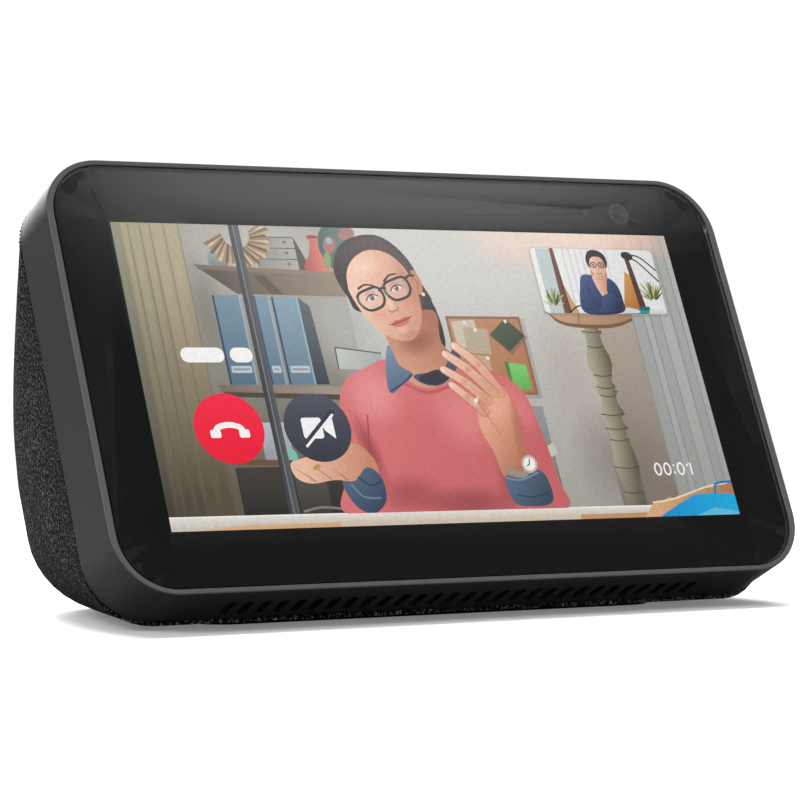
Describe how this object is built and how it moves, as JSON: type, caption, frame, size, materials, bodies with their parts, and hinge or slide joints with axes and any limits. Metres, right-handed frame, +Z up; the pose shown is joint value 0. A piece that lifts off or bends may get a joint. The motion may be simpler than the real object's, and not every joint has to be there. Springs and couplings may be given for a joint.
{
  "type": "smart display",
  "caption": "Small leaning touch screen in a charcoal frame with a fabric-covered body, top buttons, camera shutter and a down-firing speaker.",
  "frame": {"origin": "middle of the overall box, on the surface that the foot stands on", "axes": "+Z up; +X across the screen, to the right of someone who looks at it; the screen faces -Y and leans back"},
  "size_m": [0.148, 0.0729, 0.0849],
  "materials": {
    "frame_plastic": "fine satin charcoal",
    "cover_glass": "polished",
    "black_print": "printed black ink",
    "adhesive": "double-sided tape",
    "sensor_glass": "clear sheet",
    "flex_film": "amber film",
    "tray_steel": "pressed sheet",
    "inner_plastic": "moulded",
    "screw_steel": "zinc plated",
    "circuit_board": "solder mask",
    "black_plastic": "moulded black",
    "white_plastic": "moulded ivory",
    "soft_pad": "foam",
    "heat_sink_alloy": "extruded",
    "camera_glass": "coated lens",
    "antenna_copper": "copper",
    "plated_steel": "nickel plated",
    "cone_paper": "pressed pulp",
    "surround_rubber": "moulded roll",
    "wire_sleeve": "soft sleeve",
    "fabric": "charcoal melange weave",
    "foot_rubber": "moulded pad"
  },
  "bodies": {
    "housing": {"front_frame": "frame_plastic", "cover_glass": "cover_glass", "mask_film": "black_print", "glass_adhesive": "adhesive", "touch_sensor": "sensor_glass", "touch_flex": "flex_film", "display_panel": "sensor_glass", "display_flex": "flex_film", "light_guide": "sensor_glass", "backlight_tray": "tray_steel", "chassis": "inner_plastic", "small_screws": "screw_steel", "main_board": "circuit_board", "board_chips": "black_plastic", "board_shields": "tray_steel", "board_connectors": "white_plastic", "thermal_pads": "soft_pad", "heat_sink": "heat_sink_alloy", "button_board": "circuit_board", "button_flex": "flex_film", "tact_switches": "tray_steel", "microphones": "soft_pad", "camera_module": "black_plastic", "camera_lens": "camera_glass", "camera_bracket": "heat_sink_alloy", "camera_flex": "flex_film", "light_sensor": "black_plastic", "antennas": "antenna_copper", "slot_mesh": "black_plastic", "speaker_basket": "black_plastic", "speaker_gasket": "soft_pad", "front_plate": "plated_steel", "speaker_magnet": "plated_steel", "back_plate": "plated_steel", "speaker_surround": "surround_rubber", "speaker_spider": "cone_paper", "speaker_baffle": "inner_plastic", "speaker_box": "inner_plastic", "speaker_wires": "wire_sleeve", "port_tray": "black_plastic", "power_inlet": "black_plastic", "usb_socket": "tray_steel", "port_board": "circuit_board", "port_cable": "wire_sleeve", "rear_shell": "inner_plastic", "fabric_cover": "fabric", "rubber_foot": "foot_rubber", "case_screws": "screw_steel", "stand_magnets": "plated_steel"},
    "mic_off": {"mic_off_button": "frame_plastic", "mic_off_plunger": "black_plastic"},
    "volume_down": {"volume_down_button": "frame_plastic", "volume_down_plunger": "black_plastic"},
    "volume_up": {"volume_up_button": "frame_plastic", "volume_up_plunger": "black_plastic"},
    "shutter": {"shutter_knob": "frame_plastic", "shutter_blade": "black_plastic"},
    "cone": {"speaker_cone": "cone_paper", "dust_cap": "cone_paper", "voice_coil": "antenna_copper"}
  },
  "joints": [
    {"name": "mic_off_press", "type": "slide", "parent": "housing", "child": "mic_off", "axis": [0, -0.4258, -0.9048], "range_m": [0, 0.0005], "stiffness_N_per_m": 400, "springref_m": -0.001},
    {"name": "volume_down_press", "type": "slide", "parent": "housing", "child": "volume_down", "axis": [0, -0.4258, -0.9048], "range_m": [0, 0.0005], "stiffness_N_per_m": 400, "springref_m": -0.001},
    {"name": "volume_up_press", "type": "slide", "parent": "housing", "child": "volume_up", "axis": [0, -0.4258, -0.9048], "range_m": [0, 0.0005], "stiffness_N_per_m": 400, "springref_m": -0.001},
    {"name": "shutter_slide", "type": "slide", "parent": "housing", "child": "shutter", "axis": [-1, 0, 0], "range_m": [0, 0.006]},
    {"name": "cone_travel", "type": "slide", "parent": "housing", "child": "cone", "axis": [0, 0, 1], "range_m": [-0.001, 0.001], "stiffness_N_per_m": 600, "deforming": ["speaker_surround", "speaker_spider"]}
  ]
}
